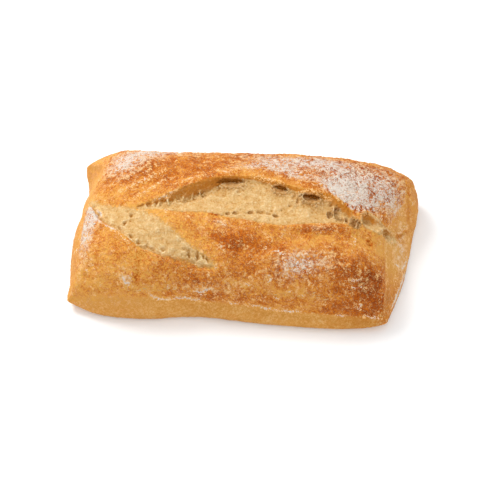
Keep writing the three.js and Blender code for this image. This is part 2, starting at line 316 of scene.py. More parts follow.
@dataclass(frozen=True)
class Tears:
    """Where the loaf is torn open: the same lines that its solid was cut along, before it was centred."""

    start: float = -53.0
    end: float = 56.0
    tip_slope: float = 0.6
    lip: Line = Line(
        (
            (-53, -6.2), (-46, -5.7), (-31, -5.6), (-13, -5.7), (-8, -6.9),
            (2, -7.8), (14, -9.3), (26, -8.6), (38, -6.6), (49, -4.7), (56, -4.2),
        )
    )
    crease: Line = Line(
        (
            (-53, -4.6), (-42, -0.2), (-32, 3.5), (-22.6, 7.7), (-15.4, 11.7), (-8, 15),
            (5, 15.8), (17, 13.1), (28, 9.4), (38, 8), (48, 3.2), (56, -1.2),
        )
    )
    flap: Line = Line(
        (
            (-53, -4.2), (-42, 2), (-28, 9.4), (-18, 14), (-8, 16.4),
            (5, 17.4), (17, 14.4), (28, 11.2), (38, 9.8), (48, 6.8), (56, 1),
        )
    )
    overhang: float = 3.5
    wall_facing: float = 0.2
    wall_gain: float = 4.0
    wall_foot: float = 20.0
    hollows: tuple[Patch, ...] = patches(
        (56.3, -3.3, 3.5, 3.4), (65.4, 0.8, 7, 5.2, -10), (73.4, 1.2, 5.2, 3, 30)
    )
    band_front: Line = Line(
        (
            (-92, 10), (-80, 4), (-69, -11.3), (-60, -19), (-53, -24.9), (-44.6, -28.6),
            (-35.6, -30), (-28, -30.4), (-22, -31.2), (-15, -33), (-10, -33),
        )
    )
    band_back: Line = Line(
        (
            (-92, 12), (-80, 8), (-72.5, 0.4), (-64, -3), (-56, -4.8), (-45.6, -8.6),
            (-37.4, -14.2), (-29, -20), (-22.8, -24.6), (-17.7, -26.6), (-14.4, -29), (-10, -32.6),
        )
    )
    band_back_slope: float = 0.45
    band_end: float = -10.0
    band_foot: float = 14.0
    band_foot_slope: float = 0.5
    raggedness: float = 0.7
    ragged_size: float = 5.3
    gold_width: Line = Line(((-53, 0.2), (-30, 0.4), (-8, 1.2), (10, 1.6), (30, 1.5), (44, 2.0), (56, 1.2)))
    gold_foot: float = 0.05
    gold_climb: float = 0.8
    gold_edge: tuple[float, float] = (-0.7, 0.5)
    gold_right: Fade = Fade(25.0, 40.0, 0.2)
    gold_left: Fade = Fade(8.0, 16.0, 0.4)
    gold_end: Fade = Fade(-57.0, -53.0)

    def main(self, points: Array, normals: Array) -> Array:
        """Gives the depth inside the main tear, in mm: positive on torn crumb, negative on crust."""
        x, y = points[:, 0], points[:, 1]
        flap = self.flap.at(x)
        inside = np.minimum(y - self.lip.at(x), flap - y)
        under_flap = np.minimum(flap + self.overhang - y, (self.wall_facing - normals[:, 2]) * self.wall_gain)
        inside = np.maximum(inside, np.where(points[:, 2] > self.wall_foot, under_flap, OUTSIDE))
        inside = np.minimum(inside, np.minimum(x - self.start, self.end - x) * self.tip_slope)
        for hollow in self.hollows:
            inside = np.maximum(inside, (1 - hollow.reach(points)) * hollow.width)
        return inside

    def up_wall(self, points: Array) -> Array:
        """Gives how far up the wall each point is: 0 at the crease and 1 at the flap's crust edge."""
        crease = self.crease.at(points[:, 0])
        return (points[:, 1] - crease) / np.maximum(self.flap.at(points[:, 0]) - crease, 1.0)

    def golden(self, points: Array, main: Array) -> Array:
        """Gives how golden each point is: from the wall, over the flap's torn edge and a little behind it.

        Args:
            points: The places in millimetres.
            main: Their depths inside the main tear.

        Returns:
            A share from 0 to 1 for each place.
        """
        x = points[:, 0]
        width = self.gold_width.at(x)
        behind = smoothstep(main, -width + self.gold_edge[0], -width + self.gold_edge[1])
        foot = self.gold_foot - self.gold_right.at(x) - self.gold_left.at(-x)
        return smoothstep(self.up_wall(points), foot, foot + self.gold_climb) * behind * self.gold_end.at(-x)

    def band(self, points: Array) -> Array:
        """Gives the depth inside the shallow band at the left end, in mm, soft on its back edge."""
        x, y = points[:, 0], points[:, 1]
        from_front = y - self.band_front.at(x) + self.raggedness * uneven(points, self.ragged_size)
        from_back = (self.band_back.at(x) - y) * self.band_back_slope
        inside = np.minimum(np.minimum(from_front, from_back), (self.band_end - x) * self.tip_slope)
        return np.minimum(inside, (points[:, 2] - self.band_foot) * self.band_foot_slope)


@dataclass(frozen=True)
class Rim:
    """The edge where the top skin meets the four cut sides: its height along each, from -1 to 1."""

    half_length: float = 88.9
    half_width: float = 49.7
    front: Line = Line(
        ((-1, 7), (-0.8, 14), (-0.5, 16.5), (-0.2, 13), (0, 13), (0.25, 11.5), (0.7, 10), (1, 6))
    )
    back: Line = Line(((-1, 12), (-0.8, 19), (-0.3, 21), (0.3, 21), (0.8, 20), (1, 14)))
    left: Line = Line(((-1, 7), (-0.7, 17), (-0.2, 22), (0.2, 20), (0.5, 23), (0.8, 20), (1, 12)))
    right: Line = Line(((-1, 6), (-0.8, 15), (-0.4, 20), (0, 22), (0.4, 21), (0.8, 19), (1, 15)))
    sharpness: int = 10

    def below(self, points: Array) -> Array:
        """Gives how far each point lies below the rim beside it, in mm: positive on a cut side."""
        a = np.clip(points[:, 0] / self.half_length, -1, 1)
        b = np.clip(points[:, 1] / self.half_width, -1, 1)
        ends = np.where(a < 0, self.left.at(b), self.right.at(b))
        sides = np.where(b < 0, self.front.at(a), self.back.at(a))
        to_end, to_side = np.abs(a) ** self.sharpness, np.abs(b) ** self.sharpness
        level = (ends * to_end + sides * to_side) / (to_end + to_side + 1e-9)
        return level - points[:, 2]


# The bread.


@dataclass(frozen=True)
class Strand:
    """One thread of crumb between two places on the torn surface, given on its plan."""

    head: tuple[float, float]
    foot: tuple[float, float]
    thickness: float


@dataclass
class Strands:
    """The threads of crumb that bridge the main tear, modelled once and copied to each place."""

    tears: Tears
    sides: int = 8
    waist: float = 0.65
    sink: float = 0.35
    overlap: float = 1.0
    above: float = 80.0
    teeth_from: float = -49.0
    teeth_to: float = -21.0
    teeth_pitch: float = 3.8
    teeth_waver: float = 0.8
    teeth_seed: int = 11
    webs: tuple[Strand, ...] = tuple(
        Strand(row[:2], row[2:4], row[4])
        for row in (
            (27.2, 10.6, 28.2, 4.6, 1.2), (29.4, 10.2, 29.0, 5.6, 1.0), (25.0, 9.4, 25.6, 4.0, 1.1),
            (21.8, 10.6, 22.6, 6.8, 0.9), (38.6, 7.4, 39.8, 3.4, 1.1), (45.0, 4.2, 45.6, -3.2, 1.2),
            (41.6, 2.6, 42.2, -2.6, 1.0), (48.8, 1.8, 47.0, -1.4, 1.0), (50.4, 0.4, 51.6, -3.6, 1.2),
            (54.4, 0.8, 53.2, -5.4, 1.3), (59.6, 3.2, 60.0, -4.6, 1.2), (58.2, 0.2, 56.8, -6.0, 1.0),
            (13.6, 13.2, 13.2, 9.6, 1.0), (-0.4, 14.4, -1.0, 11.6, 1.0),
        )
    )

    def teeth(self) -> list[Strand]:
        """Gives the short threads along the crease of the tear's left half, unevenly spaced."""
        rng = random.Random(self.teeth_seed)
        found = []
        for place in np.arange(self.teeth_from, self.teeth_to, self.teeth_pitch):
            x = float(place) + rng.uniform(-self.teeth_waver, self.teeth_waver)
            y = float(self.tears.crease.at(np.array([x]))[0])
            head = (x, y + rng.uniform(0.5, 1.0))
            foot = (x + rng.uniform(-self.teeth_waver, self.teeth_waver), y - rng.uniform(0.9, 2.2))
            found.append(Strand(head, foot, rng.uniform(1.0, 1.8)))
        return found

    def model(self) -> Piece:
        """Models the one thread that the others copy: a short bar, drawn in at its waist."""
        bpy.ops.object.select_all(action="DESELECT")
        bpy.ops.mesh.primitive_cylinder_add(vertices=self.sides, radius=0.5, depth=1.0)
        thread = bpy.context.object
        bpy.ops.object.mode_set(mode="EDIT")
        bpy.ops.mesh.select_all(action="SELECT")
        bpy.ops.mesh.bisect(plane_co=(0, 0, 0), plane_no=(0, 0, 1))
        bpy.ops.transform.resize(value=(self.waist, self.waist, 1), center_override=(0, 0, 0))
        bpy.ops.object.mode_set(mode="OBJECT")
        return thread

    def build(self, surface: BVHTree) -> list[Piece]:
        """Copies the thread to each place, with both ends sunk a little into the solid's surface.

        Args:
            surface: The solid's faces, in millimetres, that each thread starts and ends on.

        Returns:
            The threads, each with its own mesh.
        """
        thread = self.model()
        threads = []
        for strand in [*self.webs, *self.teeth()]:
            head, foot = (
                surface.ray_cast((x - CENTRING[0], y - CENTRING[1], self.above), (0, 0, -1))[0]
                for x, y in (strand.head, strand.foot)
            )
            span = head - foot
            copy = copy_of(thread.data, "thread")
            turned = span.to_track_quat("Z", "Y").to_matrix().to_4x4()
            sized = Matrix.Diagonal((strand.thickness, strand.thickness, span.length + self.overlap, 1))
            middle = (head + foot) / 2 + Vector((0, 0, strand.thickness / 2 - self.sink))
            copy.data.transform(Matrix.Scale(MM, 4) @ Matrix.Translation(middle) @ turned @ sized)
            threads.append(copy)
        bpy.data.objects.remove(thread)
        return threads


@dataclass(frozen=True)
class Relief:
    """One layer of the surface's unevenness: a procedural texture pushed along the normals."""

    name: str
    texture: str
    size: float
    height: float
    zone: str
    settings: tuple[tuple[str, object], ...]

    def press(self, piece: Piece) -> None:
        """Applies the layer to a piece, as strongly as its zone's vertex group says."""
        texture = bpy.data.textures.new(self.name, self.texture)
        texture.noise_scale = self.size * MM
        for key, value in self.settings:
            setattr(texture, key, value)
        apply_modifier(
            piece, self.name, "DISPLACE",
            texture=texture, texture_coords="LOCAL", mid_level=0.5,
            strength=self.height * MM, vertex_group=self.zone,
        )


RELIEFS = (
    Relief("swells", "CLOUDS", 6.5, 1.0, "crust", (("noise_depth", 2),)),
    Relief("blisters", "VORONOI", 2.6, 0.55, "crust", (("weight_1", -1.0), ("weight_2", 1.0))),
    Relief("crust_grain", "CLOUDS", 1.3, 0.75, "crust", (("noise_depth", 2),)),
    Relief("side_ripple", "CLOUDS", 5.0, 0.7, "side", (("noise_depth", 2),)),
    Relief("lip_tears", "CLOUDS", 1.6, 0.9, "lips", (("noise_depth", 2),)),
    Relief("crumb_swells", "CLOUDS", 3.6, 1.1, "torn", (("noise_depth", 2),)),
    Relief("crumb_pores", "CLOUDS", 0.8, 0.25, "torn", (("noise_depth", 1),)),
)

# Folds and cracks of the skin: at the right end, at the flap's tip and between the band and the left end. The
# folds with a flour below zero are darkened along their line, as painted shade in the crease.
FOLDS = (
    Trace(((57.2, 1.6, 35.7), (59.7, 3.9, 34.9), (62.3, 4.4, 32.6), (68.1, 3.3, 29.1)), 1, 0.9, 0.3),
    Trace(((67.3, -3.9, 30.2), (69.3, -0.8, 27.8), (72, 2.7, 23.8), (76.5, 3.9, 17.5)), 0.8, 0.8, 0.5),
    Trace(((68.5, -3.9, 28.7), (70.9, 0.9, 23.8), (73, 2, 21.2), (75.2, 2, 18.7)), 0.8, -0.8, -0.5),
    Trace(((77, 4.2, 16.6), (79.7, 7.1, 13.8), (81.3, 10.1, 12.7), (83.9, 14.8, 9.6)), 0.8, -1.3, -0.8),
    Trace(((76.6, 5.6, 17.4), (79.3, 8.6, 14.6), (80.9, 11.6, 13.5), (83.5, 16.3, 10.4)), 0.9, 0.6, 0.5),
    Trace(((81.7, 28.6, 25.1), (83, 24.9, 17.6), (83.7, 18.4, 11.8)), 1.2, -0.9, -0.3),
    Trace(((-48.3, -32, 34.1), (-49.4, -35.2, 32.5), (-50.2, -43.9, 24.3)), 1.8, -0.5, -0.2),
    Trace(((71.3, 0.7, 20.9), (71.8, -9.4, 22.3), (72.4, -15.8, 20.8), (73.3, -29.9, 16.4)), 1, 0.4, 0.5),
    Trace(((57.9, 7.5, 35.8), (58.3, 5.1, 35.6), (58.1, 2.6, 35.5)), 0.6, -0.7, -0.9),
    Trace(((60.5, 7.5, 34.5), (61.1, 5.1, 34.4), (61.2, 4, 33.3)), 0.5, -0.7, -0.9),
    Trace(((53.9, 6, 37.1), (54.5, 3.8, 36.8), (55.6, 1.7, 36.3)), 0.6, -0.7, -0.9),
    Trace(((49.8, 6.6, 38.4), (51.4, 4.7, 37.7), (52, 3.1, 37.3)), 0.5, -0.6, -0.8),
    Trace(((63.6, 8, 32.7), (64.7, 6, 32.1), (66.4, 4.7, 30.7)), 0.5, -0.6, -0.8),
    Trace(((63.2, -11.8, 31.5), (64, -13.4, 31.2), (63.8, -15, 31)), 0.8, -0.8, -0.9),
    Trace(((-16.8, -7.2, 38.6), (-13.7, -7.6, 38.4), (-11.4, -6.1, 37.5)), 0.8, 0.5, -0.9),
)

# Floured edges of the crust: along the front cut, low on the right end and behind the flap.
FLOURED_EDGES = (
    Trace(((-43.2, -45.3, 19.5), (-41.8, -45.5, 17), (-38.9, -45.3, 15.5), (-33.1, -44.4, 14.2)), 0.8, 0.4),
    Trace(((-35, -44.4, 14.4), (-25.7, -43.1, 15.1), (-19.3, -42.8, 13.4), (-15.3, -42.8, 13.1)), 0.8, 0.4),
    Trace(((-4.3, -43, 13.6), (-1.3, -43.2, 12.9), (2.2, -43, 14.9)), 0.7),
    Trace(((3.7, -43.3, 12.9), (9.7, -43.4, 12.6), (16.7, -43.6, 11.7), (24.2, -43.7, 11.1)), 0.7),
    Trace(((22, -43.7, 11.3), (27, -43.7, 11.2), (33.1, -43.7, 11.5)), 0.8),
    Trace(((50, -43.6, 11), (54, -43.5, 10.1)), 0.7),
    Trace(((62.4, -42.8, 10.3), (67.3, -42.3, 9.8), (72.3, -41.4, 9.3)), 0.6),
    Trace(((83.1, -7.9, 3.4), (81.3, -17.3, 4.6), (79, -25.9, 5.8), (76.2, -36, 7.4)), 1, 0.3, 1.2),
    Trace(((83.8, 3, 4.5), (83.6, -3, 5.2), (81.6, -9, 7.4), (80.6, -12, 8.4)), 0.8, 0.3, 1),
    Trace(((-69.1, -15.4, 34.7), (-66.2, -17.6, 35.3), (-63.4, -19.8, 36.1), (-61.2, -21.1, 36.3)), 0.9),
    Trace(((-60.9, -23.3, 36), (-57.5, -25.6, 36.1), (-53.8, -27.7, 35.9)), 0.6, 0.3, 0.7),
    Trace(((-75.5, -2.7, 29.4), (-72.8, -6.3, 30.9), (-71, -10, 32)), 1),
    Trace(((-16.9, 21.8, 38.6), (-11.4, 18.8, 40.4), (-6.5, 20.2, 40.1)), 1.2, 0.3, 0.6),
    Trace(((0.9, 17.9, 40.5), (7, 17.8, 40.5), (13.3, 15.7, 40.5), (18.5, 13.3, 40.8)), 1.1, 0.2, 0.5),
    Trace(((26.9, 10.2, 40.6), (33, 9.4, 40.9), (38, 8.6, 40.6), (43.2, 6.4, 39.4)), 0.8, 0.2, 0.5),
)

# Curled flakes of the crust and the floured streaks that run across it.
CURLS = (
    Trace(((53.5, -34.8, 29.5), (56, -35, 28.6), (58.9, -34.2, 28.6), (61.3, -32.8, 28.8)), 0.6),
    Trace(((53.8, -37.2, 26.3), (57.2, -37, 25.6), (60.6, -36, 25.6), (63.7, -36, 24.2)), 0.5),
    Trace(((54.4, -12, 34.9), (56.5, -13.7, 34.1), (55.7, -16.8, 34.8), (53.2, -17, 35.5)), 0.5, 0.4),
    Trace(((59.3, -40.7, 18.4), (61.4, -40.9, 17.2), (60.6, -41.9, 15.1), (58, -41.8, 16.4)), 0.8),
    Trace(((14.8, -35.6, 29.7), (16.4, -37.4, 27.4), (14.6, -39, 25.2)), 0.6),
    Trace(((15.4, -26.1, 35.3), (19.2, -25.4, 35.6), (23.4, -28.2, 34.9)), 0.8),
    Trace(((-22.3, -41.5, 19.7), (-18.8, -41.9, 18.2), (-15.4, -41.3, 20.3), (-11.4, -40.6, 22.4)), 0.9),
    Trace(((-56.8, -41.5, 27.6), (-54.6, -43.9, 24.5), (-51.6, -44.5, 23.2)), 0.9),
    Trace(((78.9, 2.5, 13.8), (81.2, 2.4, 10), (80.3, -2.8, 10.8)), 0.6),
    Trace(((76.1, -11.8, 16.1), (79, -10.7, 11.7), (81.4, -10.8, 7.1)), 0.7),
    Trace(((-72.9, 8.3, 32.4), (-66.2, 13, 34.7), (-58.5, 17.5, 36.7), (-51, 23, 37.4)), 0.9, 0.3, 0.6),
    Trace(((-67.6, 1.6, 34.7), (-59.2, 8.1, 36.6), (-50.7, 13.6, 37.4), (-42.3, 19.6, 37.6)), 0.9, 0.3, 0.6),
    Trace(((-72.2, 17.7, 31.7), (-65.7, 23.3, 33.8), (-58.2, 29.4, 33.9)), 1, 0.3, 0.7),
    Trace(((-46.7, -1.5, 37.7), (-41.9, 0.7, 38), (-38.1, 3, 39.6), (-34.8, 5.2, 40.4)), 0.7, 0.3, 0.8),
    Trace(((-57.9, -0.9, 37.3), (-50.6, 4.7, 37.7), (-44.3, 11.5, 37.4), (-36.6, 15.7, 38)), 0.8, 0.3, 0.6),
    Trace(((-38.6, 7.5, 39.7), (-32, 11.6, 40.3), (-25.2, 14.5, 40.8), (-19.3, 16.2, 40.9)), 0.8, 0.3, 0.6),
)

TRACES = FOLDS + FLOURED_EDGES + CURLS

# Torn edges of the skin at the right end, golden brown like the flap's.
TORN_EDGES = (
    Trace(((56.8, 0.2, 35.7), (59.5, 2.3, 34.5), (62.2, 2.6, 32.3), (68, 1.6, 28.9)), 1.3),
    Trace(((68.2, -3.4, 29.4), (71, 0.9, 25), (73.8, 2.9, 20.8), (76.3, 2.9, 17.8)), 0.8),
)

# The floors of the pockets under the flap, where crumb slopes gently into them.
POCKET_SLOPES = patches(
    (-8.3, 12.4, 7.5, 2.6, 3, 1.3), (16.9, 10.2, 4.8, 2.6, -14, 1.3), (32.4, 6.2, 6, 3, -8, 1.3),
    (65, -2.6, 8, 3.6, -10, 0.9), (72.6, -1.6, 5, 2.6, 30, 0.3), (55.4, -4.6, 3.4, 3.2, 0, 0.7),
    (45.2, 0.6, 5, 4, 0, 0.6), (4, -4.6, 14, 1.6, 0, 0.3),
)

# Painted shade on the crumb: it is painted browner in the pockets under the flap and along the foot of the
# flap's wall.
POCKET_SHADES = patches(
    (-8.3, 12.2, 8, 3.2, 3, 0.9), (16.9, 10.4, 5.2, 3, -14, 0.9), (32.4, 6.4, 6.8, 3.4, -8, 0.9),
    (45.7, 1.7, 2.2, 2.2, -20, 0.7), (42.5, -1.1, 1.7, 2.2, 0, 0.6), (55.4, -3.8, 3.2, 3.2, 0, 1),
    (65, 1.6, 7, 2.6, -10, 0.8),
)

# The open cells that show one by one in the torn crumb, by their plan and their depth, and the floors that
# rise in the solid's own pockets, where the depth is below zero.
OPEN_CELLS = patches(
    (-8.3, 12.8, 7, 2.6, 3, -1.4), (16.9, 10.8, 4.2, 2.5, -14, -1.5), (32.4, 6.6, 5.4, 2.8, -8, -1.7),
    (-38, 0.3, 8, 1.5, 20, -0.6), (-28, 4.3, 7, 1.5, 23, -0.7), (-19, 8.8, 5.5, 1.5, 28, -0.7),
    (45.7, 1.7, 2, 1.9, -20, -1.3), (42.5, -1.1, 1.5, 2, 0, -1.2), (47.3, -2.7, 2.6, 1.3, -10, -0.5),
    (55.4, -4.6, 3, 2.9, 0, -1.5), (-24.9, -29.2, 0.8, 2, 12, 1.5), (-20.6, -29.8, 0.9, 1.9, 8, 1.5),
    (-17.6, -30.2, 0.6, 1.4, 22, 1.2), (-15.8, -31.2, 0.6, 1.5, 34, 1.2),
    (-22.6, -32, 1.3, 0.7, -10, 0.8), (-18.4, -33.2, 1.5, 0.6, -14, 0.8),
    (-27, -27.6, 1, 0.7, 10, 0.7), (-72.8, -6.8, 1.2, 0.9, -50, 1.2),
    (-58.6, -15, 0.9, 1.4, -20, 1), (-56, -10.6, 0.9, 1.1, 0, 0.9),
    (-50.4, -25.6, 1.2, 0.8, -35, 1.1), (-46, -27.2, 1, 1.1, -30, 1.1),
    (-43.4, -28.4, 1.3, 0.7, -20, 0.9), (-61, -17.6, 1.5, 0.7, -40, 0.8),
    (-54.6, -22.4, 1.2, 0.7, -40, 0.8), (-38, -28.6, 1.2, 0.7, -10, 0.7), (0.6, -4.4, 0.8, 0.6, 0, 0.7),
    (12.4, -3.6, 1.2, 0.6, 0, 0.7), (24.2, 6.6, 0.9, 2, 0, 0.9), (26.2, 5, 0.8, 1.4, 0, 0.9),
    (22.6, 2.4, 0.9, 0.7, 0, 0.6), (42.8, 4.4, 0.9, 0.8, 0, 0.8), (51.2, -2.6, 0.8, 1.4, 10, 1.2),
)

# Where the crust is browner (positive) or paler (negative) than its usual gold.
BROWNING = patches(
    (63, -36, 15, 12, 0, 0.5), (42, -33, 15, 8, 0, 0.2), (14, -33, 14, 6, -10, 0.12),
    (-66, -41, 22, 7, 0, -0.22), (32, -42, 18, 5, 0, -0.06), (18, -24, 9, 5, 0, 0.2),
    (-2, -24, 12, 6, 8, 0.26), (40, -11.4, 12, 2.4, 6, 0.42), (-10, -40, 34, 3.5, 0, 0.16),
    (-27, -36, 10, 4, 0, 0.22), (-10, -18, 10, 5, 0, 0.16), (-32, 18, 26, 10, 20, 0.24),
    (0, 33, 40, 9, 0, 0.22), (-76, 24, 12, 14, 20, 0.12), (54, 22, 24, 13, -22, 0.45),
    (40, -19, 13, 3.6, 4, -0.14), (-40, -12, 10, 5, -22, -0.3), (66, -13, 8, 9, 0, -0.3),
    (-62, 6, 16, 5, 20, -0.15), (0, 29, 34, 7, 0, -0.1), (-78, -24, 6, 18, 0, -0.12),
    (-80, 22, 7, 20, 0, -0.28), (-54, 20, 16, 8, 20, 0.2), (80, 6, 7, 24, 0, -0.52),
    (79.5, 4.5, 4, 4.5, 0, 0.35), (83.4, -5.5, 2.5, 6, 0, 0.2), (83.6, 18, 3, 6, 0, 0.1),
    (84, 19, 3, 5, 0, 0.15), (81, -20, 3, 9, -12, 0.35), (62, 34, 22, 8, 0, 0.2), (74, 24, 6, 8, 0, 0.15),
)

# Where flour lies on the crust.
DUSTING = patches(
    (52, 22, 18, 11, -22, 0.6), (50, 14, 10, 6, -35, 0.5), (58, 11, 9, 5, -35, 0.6),
    (43, 14, 8, 4, -30, 0.5), (51, 7.5, 9, 3, -35, 0.7), (68, 18, 9, 9, -30, 0.3), (38, 34, 18, 7, 0, 0.5),
    (70, 30, 12, 12, 0, 0.4), (12, 30, 16, 8, 0, 0.55), (24, 21, 12, 5, -15, 0.5), (-4, 25, 12, 4, 5, 0.38),
    (-64, 26, 15, 11, 30, 0.7), (-56, 14, 9, 5, 20, 0.16), (-50, 36, 22, 7, 0, 0.38),
    (0, 38, 50, 5, 0, 0.3), (-77, -14, 4.5, 10, 0, 0.68), (-76, -30, 4, 10, 0, 0.3),
    (-76, -7, 8, 2, -55, 0.7), (-64, -17.5, 8, 1.6, -32, 0.6), (-13, -12, 6, 3, 10, 0.4),
    (-6, -14, 5, 2.5, 0, 0.35), (38, -11.6, 12, 2, 5, 0.35), (81, 2, 6, 22, 0, 0.4),
    (-81, -18, 4, 16, 0, 0.4), (38, -29, 15, 8, 0, 0.4), (26, -31, 9, 8, 0, 0.3), (62, -31, 12, 8, 0, 0.08),
    (10, -34, 24, 7, 0, 0.2), (-55, -42, 5, 2.5, 0, 0.35), (-52, -40, 5, 3, 0, 0.2),
    (-20, -41, 18, 2, 0, 0.18), (-7, -40, 22, 4, 0, 0.15), (73, -28, 3, 12, 0, 0.1),
    (79, -6, 6, 14, 0, 0.4), (77, 14, 8, 10, 0, 0.15),
)


@dataclass(frozen=True)
class Flakes:
    """Small curled flakes of skin, scattered where the crust holds flour."""

    count: int = 150
    seed: int = 23
    bend: float = 0.55
    stride: float = 0.9
    legs: tuple[int, int] = (2, 6)
    widths: tuple[float, float] = (0.45, 0.7)
    rises: tuple[float, float] = (0.15, 0.3)
    flours: tuple[float, float] = (0.5, 0.9)

    def scatter(self, points: Array, weights: Array) -> list[Trace]:
        """Gives the flakes' lines, each an arc that starts at a vertex of the surface.

        Args:
            points: The surface's vertices in millimetres.
            weights: How likely a flake is at each vertex.

        Returns:
            One trace for each flake.
        """
        rng = np.random.default_rng(self.seed)
        found = []
        for start in points[rng.choice(len(points), self.count, p=weights / weights.sum())]:
            heading, turn = rng.uniform(0, math.tau), rng.uniform(-self.bend, self.bend)
            path = [tuple(start)]
            for _ in range(int(rng.integers(*self.legs))):
                x, y, z = path[-1]
                path.append((x + self.stride * math.cos(heading), y + self.stride * math.sin(heading), z))
                heading += turn
            width, rise, flour = (rng.uniform(*sizes) for sizes in (self.widths, self.rises, self.flours))
            found.append(Trace(tuple(path), width, rise, flour))
        return found


@dataclass(frozen=True)
class Cells:
    """The open cells of the torn crumb: the large ones that show one by one, and many small ones."""

    large: tuple[Patch, ...] = OPEN_CELLS
    brim: float = 1.2
    waver: float = 0.3
    waver_size: float = 2.1
    lowest: float = 15.0
    small: int = 900
    seed: int = 5
    log_radius: tuple[float, float] = (-0.72, 0.28)
    squash: float = 1.2
    depths: tuple[float, float] = (0.25, 0.6)

    def press(self, points: Array, normals: Array, inside: Array) -> Array:
        """Presses the cells into the torn surface.

        Args:
            points: Its vertices in millimetres.
            normals: Their normals.
            inside: How deep each lies inside the tears, in millimetres.

        Returns:
            The vertices' new places.
        """
        moved = points.copy()
        for cell in self.large:
            reach = cell.reach(points) * (1 + self.waver * uneven(points, self.waver_size))
            near = (reach < self.brim) & (normals[:, 2] > 0.1) & (points[:, 2] > self.lowest)
            moved[near, 2] -= cell.amount * np.clip(self.brim - reach[near] ** 2, 0, 1) ** 0.6
        rng = np.random.default_rng(self.seed)
        weights = (inside > 0.6) * 1.0
        for index in rng.choice(len(points), self.small, replace=False, p=weights / weights.sum()):
            radius = rng.lognormal(*self.log_radius)
            offset = points - points[index]
            angle = rng.uniform(0, math.pi)
            across = offset[:, 1] * math.cos(angle) - offset[:, 0] * math.sin(angle)
            reach = np.sqrt((offset**2).sum(axis=1) + self.squash * across**2) / radius
            near = reach < 1
            bowl = (1 - reach[near] ** 2) ** 0.7 * radius * rng.uniform(*self.depths)
            moved[near] -= normals[index] * bowl[:, None]
        return moved


